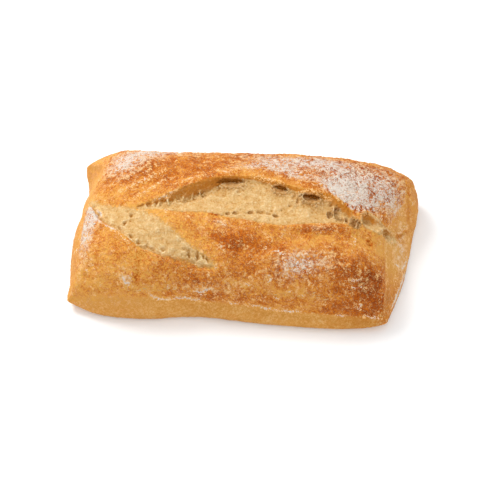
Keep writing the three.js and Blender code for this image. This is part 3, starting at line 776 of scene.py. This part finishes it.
@dataclass
class Bread:
    """The whole loaf: its solid's form, with the crust and the torn crumb worked onto it."""

    tears: Tears
    rim: Rim
    strands: Strands
    node: str = "loaf"
    voxel: float = 0.46
    triangles: int = 190_000
    cells: Cells = Cells()
    flakes: Flakes = Flakes()
    slope_rounds: int = 80
    crust_rounds: int = 12
    torn: Fade = Fade(-0.4, 1.0)
    based: tuple[Fade, Fade] = (Fade(0.5, 0.8), Fade(-3.0, -1.0))
    cut: Fade = Fade(-0.6, 1.2)
    lip_width: float = 1.2
    plainness: float = 0.85
    skin_right: Fade = Fade(66.0, 76.0, 0.5)
    skin_left: tuple[Fade, Fade] = (Fade(40.0, 58.0, 0.2), Fade(72.0, 80.0, 0.3))
    flake_floor: float = 0.06
    usual_brown: float = 0.3
    pale_edge: tuple[float, float, float] = (0.6, 1.6, 0.14)
    pale_band: Fade = Fade(-4.0, 0.0, 0.12)
    soft_rim: Fade = Fade(38.0, 58.0, 0.75)
    dull_gold: Fade = Fade(12.0, 26.0, 0.2)
    usual_flour: float = 0.09
    # How the crumb's painted shade grows: in the pockets with depth inside the tear, and in hollows with how
    # far they sink.
    shaded: Fade = Fade(0.0, 0.8)
    sunken: Fade = Fade(0.8, 3.0)
    pit_rounds: int = 50
    crest_rounds: int = 6
    piece: Piece = field(init=False)
    traces: list[Trace] = field(init=False)

    def solid_copy(self) -> Piece:
        """Copies the node's mesh into an object of its own, with its loose triangles merged."""
        copy = copy_of(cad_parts[self.node].data, "bread")
        pick(copy)
        bpy.ops.object.mode_set(mode="EDIT")
        bpy.ops.mesh.select_all(action="SELECT")
        bpy.ops.mesh.remove_doubles(threshold=0.001 * MM)
        bpy.ops.object.mode_set(mode="OBJECT")
        return copy

    def build(self) -> None:
        """Builds the loaf's fine mesh, from the solid's copy to its smallest cells."""
        self.piece = self.solid_copy()
        corners = [Vector(point) for point in points_of(self.piece.data)]
        faces = [tuple(face.vertices) for face in self.piece.data.polygons]
        join([self.piece, *self.strands.build(BVHTree.FromPolygons(corners, faces))])
        apply_modifier(self.piece, "fine", "REMESH", mode="VOXEL", voxel_size=self.voxel * MM)
        apply_modifier(self.piece, "soften", "SMOOTH", factor=0.5, iterations=2)
        self.roughen()
        self.open_cells()
        self.lay_traces()
        share = self.triangles / (2 * len(self.piece.data.polygons))
        apply_modifier(self.piece, "lighten", "DECIMATE", ratio=share)
        keep_within_solid(self.piece.data)
        self.paint()

    def zones(self) -> dict[str, Array]:
        """Measures where each vertex lies: in the torn crumb, on a cut side, on the base or on crust.

        Returns:
            The vertices' "points" and "normals", their depths in millimetres inside the tears ("main",
            "band") and below the rim ("below"), and weights from 0 to 1 for each zone.
        """
        points, normals = points_of(self.piece.data), normals_of(self.piece.data)
        x = points[:, 0]
        before = points + np.array([*CENTRING, 0.0])
        main, band = self.tears.main(before, normals), self.tears.band(before)
        below = self.rim.below(points)
        torn = self.torn.at(np.maximum(main, band))
        base = self.based[0].at(-normals[:, 2]) * self.based[1].at(-points[:, 2])
        skinned = self.plainness - self.skin_right.at(x)
        skinned -= self.skin_left[0].at(-x) + self.skin_left[1].at(-x)
        side = self.cut.at(below) * (1 - base) * (1 - torn) * skinned
        return {
            "points": points,
            "normals": normals,
            "main": main,
            "band": band,
            "below": below,
            "torn": torn,
            "base": base,
            "side": side,
            "skinned": skinned,
            "crust": (1 - torn) * (1 - side) * (1 - base),
            "lips": np.exp(-((main / self.lip_width) ** 2)) * (1 - base),
        }

    def roughen(self) -> None:
        """Presses each layer of relief into its own zone."""
        zones = self.zones()
        for name in ("crust", "side", "torn", "lips"):
            paint_group(self.piece, name, zones[name])
        floors = zones["torn"] * smoothstep(zones["normals"][:, 2], -0.1, 0.3)
        paint_group(self.piece, "slopes", layered(POCKET_SLOPES, zones["points"]) * floors)
        for rounds, zone in ((self.slope_rounds, "slopes"), (self.crust_rounds, "crust")):
            apply_modifier(self.piece, zone, "SMOOTH", factor=0.5, iterations=rounds, vertex_group=zone)
        for relief in RELIEFS:
            relief.press(self.piece)

    def open_cells(self) -> None:
        """Presses open cells into the torn crumb."""
        zones = self.zones()
        points, normals = zones["points"], zones["normals"]
        inside = np.maximum(zones["main"], zones["band"])
        torn = np.flatnonzero(inside > -1.5)
        points[torn] = self.cells.press(points[torn], normals[torn], inside[torn])
        move_points(self.piece.data, points)

    def lay_traces(self) -> None:
        """Lays folds, floured edges, curls and scattered flakes on the surface."""
        zones = self.zones()
        points = zones["points"]
        likely = (self.flake_floor + layered(DUSTING, points)) * zones["crust"]
        self.traces = [*TRACES, *self.flakes.scatter(points, likely)]
        for trace in self.traces:
            points += zones["normals"] * (trace.rise * trace.nearness(points))[:, None]
        move_points(self.piece.data, points)

    def standing(self, rounds: int) -> Array:
        """Measures how far each vertex stands out of the surface around it.

        Args:
            rounds: How many times the surface is smoothed to get what lies around; more reach further.

        Returns:
            The height in millimetres, positive on a crest and negative in a pit.
        """
        mesh = self.piece.data
        ends = np.empty(len(mesh.edges) * 2, np.int32)
        mesh.edges.foreach_get("vertices", ends)
        first, second = ends.reshape(-1, 2).T
        points = points_of(mesh)
        count = np.bincount(ends, minlength=len(points)).astype(float)
        smooth = points.copy()
        for _ in range(rounds):
            sums = [
                np.bincount(first, smooth[second, axis], len(points))
                + np.bincount(second, smooth[first, axis], len(points))
                for axis in range(3)
            ]
            smooth = np.stack(sums, axis=1) / count[:, None]
        return ((points - smooth) * normals_of(mesh)).sum(axis=1)

    def paint(self) -> None:
        """Stores what the finish reads: the zones, the browning, the flour, the relief's crests, and the
        painted shade of hollows, pockets and pressed folds.
        """
        zones = self.zones()
        points, main, band = zones["points"], zones["main"], zones["band"]
        leftward = -points[:, 0]
        before = points + np.array([*CENTRING, 0.0])
        gold = self.tears.golden(before, main) * (1 - self.dull_gold.at(leftward))
        for torn_edge in TORN_EDGES:
            gold = np.maximum(gold, torn_edge.nearness(points))
        shift, width, paleness = self.pale_edge
        edge = np.exp(-(((main + shift) / width) ** 2))
        brown = self.usual_brown + layered(BROWNING, points) - paleness * edge
        # Painted shade in the pockets, growing with depth inside the tear.
        shade = layered(POCKET_SHADES, points) * self.shaded.at(main)
        streaks = np.zeros(len(points))
        for trace in self.traces:
            streak = trace.flour * trace.nearness(points)
            streaks = np.where(np.abs(streak) > np.abs(streaks), streak, streaks)
        # Painted shade in the hollows: the deeper a vertex sinks below the surface around it, the darker the
        # crumb is painted.
        sunken = self.sunken.at(-self.standing(self.pit_rounds))
        painted = {
            "depth": np.maximum(main, band),
            "below": zones["below"] * (1 - self.soft_rim.at(leftward)),
            "base": zones["base"],
            "brown": brown - self.pale_band.at(band),
            "cut": zones["skinned"],
            "streak": streaks,
            "flour": (self.usual_flour + layered(DUSTING, points)) * zones["crust"] * (1 - gold),
            "gold": gold,
            # Painted shade: the strongest of the hollows, the pockets and the pressed folds whose flour is
            # below zero.
            "pit": np.maximum(sunken, np.maximum(shade, -streaks)),
            "crest": self.standing(self.crest_rounds),
        }
        for name, values in painted.items():
            paint_attribute(self.piece, name, values)
        LOG.info("bread: %d faces", len(self.piece.data.polygons))

    def dress(self, material: Material) -> None:
        """Gives the loaf its finish and sets it in the place of its solid."""
        dress(self.piece, material)
        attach(self.piece, "root")
        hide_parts(self.node)


@dataclass
class FlourClumps:
    """The small clumps of flour that stand on the crust, one modelled and then copied."""

    bread: Bread
    count: int = 1600
    seed: int = 17
    least_flour: float = 0.55
    upward: float = 0.2
    jitter: float = 0.35
    flatness: float = 0.45
    log_radius: tuple[float, float] = (-1.5, 0.35)
    lengths: tuple[float, float] = (0.8, 1.4)
    piece: Piece = field(init=False)

    def model(self) -> Piece:
        """Models the one clump that the others copy: a low, uneven crumb of flour."""
        bpy.ops.object.select_all(action="DESELECT")
        bpy.ops.mesh.primitive_ico_sphere_add(subdivisions=1, radius=1.0)
        clump = bpy.context.object
        bpy.ops.object.mode_set(mode="EDIT")
        bpy.ops.mesh.select_all(action="SELECT")
        bpy.ops.transform.vertex_random(offset=self.jitter, seed=3)
        bpy.ops.transform.resize(value=(1, 1, self.flatness))
        bpy.ops.object.mode_set(mode="OBJECT")
        return clump

    def build(self) -> None:
        """Scatters copies of the clump where the flour lies thickest, and joins them."""
        clump = self.model()
        mesh = self.bread.piece.data
        points, normals = points_of(mesh), normals_of(mesh)
        flour = read(mesh.attributes["flour"].data, "value", 1)[:, 0].astype(np.float32)
        weights = np.clip(flour - self.least_flour, 0, 1) * (normals[:, 2] > self.upward)
        rng = np.random.default_rng(self.seed)
        copies = []
        for index in rng.choice(len(points), self.count, replace=False, p=weights / weights.sum()):
            copy = copy_of(clump.data, "clump")
            radius = rng.lognormal(*self.log_radius)
            turned = Vector(normals[index]).to_track_quat("Z", "Y").to_matrix().to_4x4()
            turned = turned @ Matrix.Rotation(rng.uniform(0, math.tau), 4, "Z")
            sized = Matrix.Diagonal((radius * rng.uniform(*self.lengths), radius, radius, 1))
            moved = Matrix.Translation(Vector(points[index]))
            copy.data.transform(Matrix.Scale(MM, 4) @ moved @ turned @ sized)
            copies.append(copy)
        bpy.data.objects.remove(clump)
        self.piece = join(copies)
        self.piece.name = "flour_clumps"
        keep_within_solid(self.piece.data)
        LOG.info("flour clumps: %d", self.count)

    def dress(self, material: Material) -> None:
        """Gives the clumps their finish and sets them on the loaf."""
        dress(self.piece, material)
        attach(self.piece, "root")


# Finishes.


def srgb(red: float, green: float, blue: float) -> tuple[float, float, float, float]:
    """Turns a colour in the picture's 0 to 255 steps into the linear colour that a shader takes."""
    shares = (red / 255, green / 255, blue / 255)
    linear = [s / 12.92 if s <= 0.04045 else ((s + 0.055) / 1.055) ** 2.4 for s in shares]
    return (*linear, 1.0)


@dataclass(frozen=True)
class Value:
    """A number or colour that flows through a node tree; sums with it add the nodes that work them out."""

    sheet: "Sheet"
    socket: Socket

    def __add__(self, other: object) -> "Value":
        """Adds another value or a number."""
        return self.sheet.math("ADD", self, other)

    def __sub__(self, other: object) -> "Value":
        """Takes another value or a number from this one."""
        return self.sheet.math("SUBTRACT", self, other)

    def __rsub__(self, other: float) -> "Value":
        """Takes this value from a number."""
        return self.sheet.math("SUBTRACT", other, self)

    def __mul__(self, other: object) -> "Value":
        """Multiplies by another value or a number."""
        return self.sheet.math("MULTIPLY", self, other)

    def most(self, other: object) -> "Value":
        """Gives the larger of this and another value."""
        return self.sheet.math("MAXIMUM", self, other)

    def least(self, other: object) -> "Value":
        """Gives the smaller of this and another value."""
        return self.sheet.math("MINIMUM", self, other)

    def span(self, low: float, high: float) -> "Value":
        """Takes the value smoothly from 0 at low to 1 at high."""
        node = self.sheet.node("ShaderNodeMapRange", interpolation_type="SMOOTHSTEP")
        return self.sheet.fill(node, "Result", {"Value": self, "From Min": low, "From Max": high})


@dataclass(frozen=True)
class Sheet:
    """A shader's node tree while it is written, with short ways to add and join its nodes."""

    tree: NodeTree

    def node(self, kind: str, **settings: object) -> Node:
        """Adds a node of a kind, with values for its own properties."""
        node = self.tree.nodes.new(kind)
        for key, value in settings.items():
            setattr(node, key, value)
        return node

    def feed(self, socket: Socket, value: object) -> None:
        """Joins a value to a socket, or sets a plain number or colour on it."""
        if isinstance(value, Value):
            self.tree.links.new(value.socket, socket)
        else:
            socket.default_value = value

    def fill(self, node: Node, output: str | int | None, inputs: dict) -> Value | None:
        """Feeds some of a node's inputs, by name or number, and gives the output that is asked for."""
        for name, value in inputs.items():
            self.feed(node.inputs[name], value)
        return None if output is None else Value(self, node.outputs[output])

    def math(self, operation: str, first: object, second: object) -> Value:
        """Adds one step of arithmetic on two values."""
        return self.fill(self.node("ShaderNodeMath", operation=operation), 0, {0: first, 1: second})

    def mix(self, factor: object, low: object, high: object) -> Value:
        """Mixes two colours by a factor."""
        return self.fill(self.node("ShaderNodeMix", data_type="RGBA"), 2, {"Factor": factor, 6: low, 7: high})

    def noise(self, place: Value, size: float, detail: float = 2.0, distortion: float = 0.0) -> Value:
        """Adds noise with features of a size in millimetres, about 0.5 in the middle."""
        values = {"Vector": place, "Scale": 1 / (size * MM), "Detail": detail, "Distortion": distortion}
        return self.fill(self.node("ShaderNodeTexNoise"), "Fac", values)

    def speckle(self, place: Value, size: float, detail: float) -> Value:
        """Adds hard-edged grains of a size in millimetres, from -0.5 to 0.5."""
        return self.noise(place, size, detail, 1.0).span(0.4, 0.6) - 0.5

    def contour(self, place: Value, size: float, width: float) -> Value:
        """Adds thin curly lines: 1 where noise of a size in millimetres is at its middle value, else 0."""
        return self.math("ABSOLUTE", self.noise(place, size, 2.0, 1.4) - 0.5, 0.0).span(width, 0.0)

    def cells(self, place: Value, size: float) -> Value:
        """Adds Voronoi cells of a size in millimetres, as the distance to their middles."""
        values = {"Vector": place, "Scale": 1 / (size * MM)}
        return self.fill(self.node("ShaderNodeTexVoronoi"), "Distance", values)

    def ramp(self, value: Value, stops: tuple[tuple[float, tuple], ...]) -> Value:
        """Gives the colour at a value along a row of stops."""
        node = self.node("ShaderNodeValToRGB")
        elements = node.color_ramp.elements
        while len(elements) < len(stops):
            elements.new(0.5)
        for element, (position, colour) in zip(elements, stops):
            element.position = position
            element.color = colour
        return self.fill(node, 0, {0: value})

    def attribute(self, name: str) -> Value:
        """Reads one of the numbers stored at the piece's vertices."""
        return Value(self, self.node("ShaderNodeAttribute", attribute_name=name).outputs["Fac"])

    def place(self) -> Value:
        """Gives the point's place on the piece, in metres."""
        return Value(self, self.node("ShaderNodeTexCoord").outputs["Object"])

    def group(self, tree: NodeTree, **inputs: Value) -> dict[str, Value]:
        """Adds a shared effect and gives its outputs by name."""
        node = self.node("ShaderNodeGroup", node_tree=tree)
        self.fill(node, None, inputs)
        return {output.name: Value(self, output) for output in node.outputs}


SOCKET_KINDS = {"Place": "NodeSocketVector", "Colour": "NodeSocketColor"}  # the others hold a number


@dataclass(frozen=True)
class Effect:
    """A shader node group that finishes share, with what it takes and what it gives."""

    name: str
    takes: tuple[str, ...]
    gives: tuple[str, ...]

    def start(self) -> tuple[Sheet, list[Value]]:
        """Makes the empty group, and gives its sheet and its inputs."""
        tree = bpy.data.node_groups.new(self.name, "ShaderNodeTree")
        for side, names in (("INPUT", self.takes), ("OUTPUT", self.gives)):
            for name in names:
                kind = SOCKET_KINDS.get(name, "NodeSocketFloat")
                tree.interface.new_socket(name, in_out=side, socket_type=kind)
        sheet = Sheet(tree)
        given = sheet.node("NodeGroupInput").outputs
        return sheet, [Value(sheet, given[name]) for name in self.takes]

    def finish(self, sheet: Sheet, *made: Value) -> NodeTree:
        """Joins what the group made to its outputs, in their order."""
        end = sheet.node("NodeGroupOutput")
        sheet.fill(end, None, dict(zip(self.gives, made)))
        return sheet.tree


def mottle_group() -> NodeTree:
    """Builds the baked crust's mottle: broad clouds, blisters and small grains, each about zero."""
    effect = Effect("mottle", ("Place",), ("Tone", "Grain"))
    sheet, (place,) = effect.start()
    broad = (sheet.noise(place, 9.0, 3.0, 0.5) - 0.5) * 0.7
    spots = (sheet.noise(place, 2.3, 4.0, 1.2) - 0.5) * 0.7
    grains = sheet.speckle(place, 1.0, 4.0)
    return effect.finish(sheet, broad + (spots + grains * 0.32), grains + spots)


def flour_group() -> NodeTree:
    """Builds the flour's cover: a crackled coat where there is much, curly flecks where there is little."""
    effect = Effect("flour", ("Place", "Amount", "Streak", "Crest"), ("Cover", "Film", "Crack"))
    sheet, (place, amount, laid_streak, crest) = effect.start()
    clouds = (sheet.noise(place, 3.3, 4.0, 0.8) - 0.5) * 2.2
    grains = sheet.speckle(place, 1.0, 3.0)
    laid = amount * 0.7 + laid_streak.least(0.0)
    level = laid + (clouds + crest * 0.9)
    cracks = sheet.contour(place, 2.4, 0.1) * sheet.noise(place, 1.9, 1.0).span(0.42, 0.58)
    coat = (level + grains * 0.5).span(0.48, 0.62) * (1.0 - cracks)
    flecks = sheet.contour(place, 1.8, 0.065) * (level + grains * 0.6).span(0.12, 0.3)
    streak = (laid_streak + grains * 0.8).span(0.35, 0.5)
    allowed = (amount + laid_streak).span(0.0, 0.08)
    cover = coat.most(flecks * 0.85).most(streak).least(allowed)
    film = level.span(0.0, 0.6) * amount.span(0.2, 0.6)
    return effect.finish(sheet, cover, film, cracks * amount.span(0.15, 0.5))


def crumb_group() -> NodeTree:
    """Builds the torn crumb's look: its colour, with painted shade in its hollows and pores and painted light
    on its crests, and the height of its fine pores.
    """
    effect = Effect("crumb", ("Place", "Crest", "Pit"), ("Colour", "Pores"))
    sheet, (place, crest, pit) = effect.start()
    clouds = sheet.noise(place, 4.5, 3.0, 0.4)
    specks = sheet.noise(place, 0.9, 5.0)
    # Painted light and shade: the crumb is painted lighter on its crests and darker in its hollows.
    tone = clouds * 0.6 + (specks - 0.5) + (crest * 0.6 + 0.22)
    # Painted shade in the fine pores: darker spots at the middles of small cells.
    holes = sheet.cells(place, 1.3).span(0.26, 0.12) * clouds.span(0.45, 0.6)
    painted_shade = (pit * 0.5).most(holes * 0.3)
    colour = sheet.mix(painted_shade, sheet.ramp(tone, CRUMB_TONES), PIT_SHADE_TONE)
    return effect.finish(sheet, colour, sheet.cells(place, 0.95) + specks)


def tones(*rows: tuple[float, ...]) -> tuple[tuple[float, tuple], ...]:
    """Makes a row of colours from rows of a place from 0 to 1 and a colour in the picture's steps."""
    return tuple((row[0], srgb(*row[1:])) for row in rows)


CRUST_TONES = tones(
    (0.0, 215, 156, 74), (0.22, 205, 132, 50), (0.45, 183, 95, 20), (0.7, 154, 70, 7), (1.0, 122, 48, 4)
)
CRUMB_TONES = tones((0.15, 170, 118, 56), (0.4, 194, 152, 94), (0.62, 204, 168, 115), (0.85, 220, 194, 148))
SIDE_TONES = tones((0.25, 180, 118, 46), (0.5, 201, 146, 72), (0.75, 220, 176, 110))
GOLD_TONE = srgb(180, 110, 28)
# The brown that the crumb is painted towards as painted shade in hollows, pockets, pores and pressed folds.
PIT_SHADE_TONE = srgb(152, 90, 28)
FLOUR_FILM = srgb(202, 154, 112)
FLOUR_CREAM = srgb(228, 180, 118)
FLOUR_WHITE = srgb(216, 205, 192)
BASE_TONE = srgb(188, 142, 88)


@dataclass(frozen=True)
class PlainFinish:
    """A finish that is the same all over, as a name and values by the names of the shader's inputs."""

    name: str
    values: dict[str, object]

    def build(self) -> Material:
        """Builds the material."""
        material = bpy.data.materials.new(self.name)
        material.use_nodes = True
        for socket, value in self.values.items():
            material.node_tree.nodes["Principled BSDF"].inputs[socket].default_value = value
        return material


# Dry white flour, quite matt, and a pale floor, lit a little from within to stay white round the shadow.
FLOUR = PlainFinish("flour", {"Base Color": FLOUR_WHITE, "Roughness": 0.95, "Specular IOR Level": 0.2})
FLOOR = PlainFinish(
    "floor",
    {
        "Base Color": (0.93, 0.93, 0.93, 1), "Roughness": 0.9, "Specular IOR Level": 0.1,
        "Emission Color": (0.9, 0.97, 1.0, 1), "Emission Strength": 0.06,
    },
)


@dataclass(frozen=True)
class BreadFinish:
    """The loaf's finish: crust, torn crumb, cut sides and base in one material, under dusted flour."""

    roughness: float = 0.62
    dullness: float = 0.3
    sheen: float = 0.08
    contrast: float = 1.25
    ragged: float = 2.2
    film: float = 0.35
    gilding: float = 0.9
    cover: float = 0.92
    grain_height: float = 0.18
    smoothing: float = 0.7
    subsurface: float = 0.12
    subsurface_scale: float = 1.5
    subsurface_radius: tuple[float, float, float] = (1.0, 0.5, 0.25)

    def build(self) -> Material:
        """Builds the material from the numbers stored at the loaf's vertices."""
        plain = {
            "Specular IOR Level": self.sheen, "Subsurface Weight": self.subsurface,
            "Subsurface Radius": self.subsurface_radius, "Subsurface Scale": self.subsurface_scale * MM,
        }
        material = PlainFinish("bread", plain).build()
        sheet = Sheet(material.node_tree)
        names = ("crest", "flour", "streak", "brown", "cut", "below", "base", "depth", "gold", "pit")
        crest, amount, streak, brown, cut, below, base, depth, gold, pit = map(sheet.attribute, names)
        place = sheet.place()
        mottle = sheet.group(mottle_group(), Place=place)
        crumb = sheet.group(crumb_group(), Place=place, Crest=crest, Pit=pit)
        flour = sheet.group(flour_group(), Place=place, Amount=amount, Streak=streak, Crest=crest)
        uneven_edge = mottle["Tone"] * self.ragged

        tone = brown + (mottle["Tone"] * self.contrast + crest * 0.4)
        # Where a fold's streak is below zero the crust is painted browner along it, as painted shade in the
        # crease; cracks in the flour show the browner crust.
        tone = tone - streak.least(0.0) * 0.5 + flour["Crack"] * 0.35
        colour = sheet.ramp(tone, CRUST_TONES)
        side_tone = mottle["Tone"] * (1.4 - cut * 0.8) + 0.6 - brown * 0.35
        on_side = (below + uneven_edge).span(-0.4, 1.0) * cut
        colour = sheet.mix(on_side, colour, sheet.ramp(side_tone, SIDE_TONES))
        colour = sheet.mix(base, colour, BASE_TONE)
        torn = (depth + uneven_edge).span(-0.5, 0.7)
        colour = sheet.mix(torn, colour, crumb["Colour"])
        colour = sheet.mix(flour["Film"] * self.film, colour, FLOUR_FILM)
        golden = (gold + mottle["Tone"] * 0.8).span(0.15, 0.95)
        colour = sheet.mix(golden * self.gilding, colour, GOLD_TONE)
        white = sheet.mix(amount.most(streak).span(0.3, 0.85), FLOUR_CREAM, FLOUR_WHITE)
        colour = sheet.mix(flour["Cover"] * self.cover, colour, white)

        skin = mottle["Grain"] * (1.0 - on_side.most(torn) * self.smoothing)
        height = skin + torn * crumb["Pores"]
        bump = {"Strength": 1.0, "Distance": self.grain_height * MM, "Height": height}
        surface = {
            "Base Color": colour,
            "Roughness": torn.most(flour["Cover"]) * self.dullness + self.roughness,
            "Normal": sheet.fill(sheet.node("ShaderNodeBump"), "Normal", bump),
        }
        sheet.fill(material.node_tree.nodes["Principled BSDF"], None, surface)
        return material


# The studio.


class Stand(Enum):
    """Where the lamps stand, in metres from the loaf."""

    KEY = (-0.42, 0.34, 0.62)
    FILL = (0.55, -0.6, 0.5)


@dataclass(frozen=True)
class Lamp:
    """One soft square light that looks at the middle of the loaf."""

    stand: Stand
    size: float
    power: float

    def build(self) -> None:
        """Sets up the light."""
        name, place = self.stand.name.lower(), Vector(self.stand.value)
        light = bpy.data.lights.new(name, "AREA")
        light.size = self.size
        light.energy = self.power
        lamp = bpy.data.objects.new(name, light)
        lamp.location = place
        lamp.rotation_euler = (-place).to_track_quat("-Z", "Y").to_euler()
        bpy.context.scene.collection.objects.link(lamp)


@dataclass(frozen=True)
class Studio:
    """The plain pale floor, the light and the camera of the picture."""

    azimuth: float = 5.5
    elevation: float = 52.0
    distance: float = 800.0
    target: tuple[float, float, float] = (-1.5, -7.0, 16.0)
    image_pixels: int = 480
    focal_pixels: float = 1572.0
    middle: tuple[float, float] = (240.5, 243.0)
    sensor: float = 36.0
    farthest: float = 10.0
    floor_size: float = 6.0
    world_strength: float = 0.85
    lamps: tuple[Lamp, ...] = (Lamp(Stand.KEY, 0.4, 5.5), Lamp(Stand.FILL, 0.9, 1.6))

    def build(self) -> None:
        """Sets up the floor, the light and the camera."""
        self.lay_floor()
        for lamp in self.lamps:
            lamp.build()
        self.set_world()
        self.set_camera()
        bpy.context.scene.view_settings.view_transform = "Standard"

    def lay_floor(self) -> None:
        """Lays a wide white floor under the loaf."""
        bpy.ops.object.select_all(action="DESELECT")
        bpy.ops.mesh.primitive_plane_add(size=self.floor_size)
        floor = bpy.context.object
        floor.name = "floor"
        floor.data.materials.append(FLOOR.build())

    def set_world(self) -> None:
        """Lights the scene evenly from all round with white."""
        world = bpy.data.worlds.new("studio")
        world.use_nodes = True
        background = world.node_tree.nodes["Background"]
        background.inputs["Color"].default_value = (1, 1, 1, 1)
        background.inputs["Strength"].default_value = self.world_strength
        bpy.context.scene.world = world

    def set_camera(self) -> None:
        """Sets the camera where it sees the loaf as in the picture."""
        azimuth, elevation = math.radians(self.azimuth), math.radians(self.elevation)
        level = math.cos(elevation)
        away = Vector((math.sin(azimuth) * level, -math.cos(azimuth) * level, math.sin(elevation)))
        lens = bpy.data.cameras.new("camera")
        lens.sensor_width = self.sensor
        lens.lens = self.focal_pixels / self.image_pixels * self.sensor
        lens.shift_x = (self.image_pixels / 2 - self.middle[0]) / self.image_pixels
        lens.shift_y = (self.middle[1] - self.image_pixels / 2) / self.image_pixels
        lens.clip_end = self.farthest
        camera = bpy.data.objects.new("camera", lens)
        camera.location = (Vector(self.target) + away * self.distance) * MM
        camera.rotation_euler = away.to_track_quat("Z", "Y").to_euler()
        bpy.context.scene.collection.objects.link(camera)
        bpy.context.scene.camera = camera


def main() -> None:
    """Builds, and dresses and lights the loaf."""
    logging.basicConfig(level=logging.INFO, format="%(message)s")
    tears = Tears()
    bread = Bread(tears, Rim(), Strands(tears))
    bread.build()
    clumps = FlourClumps(bread)
    clumps.build()
    bread.dress(BreadFinish().build())
    clumps.dress(FLOUR.build())
    Studio().build()
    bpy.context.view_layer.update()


if __name__ == "__main__":
    main()
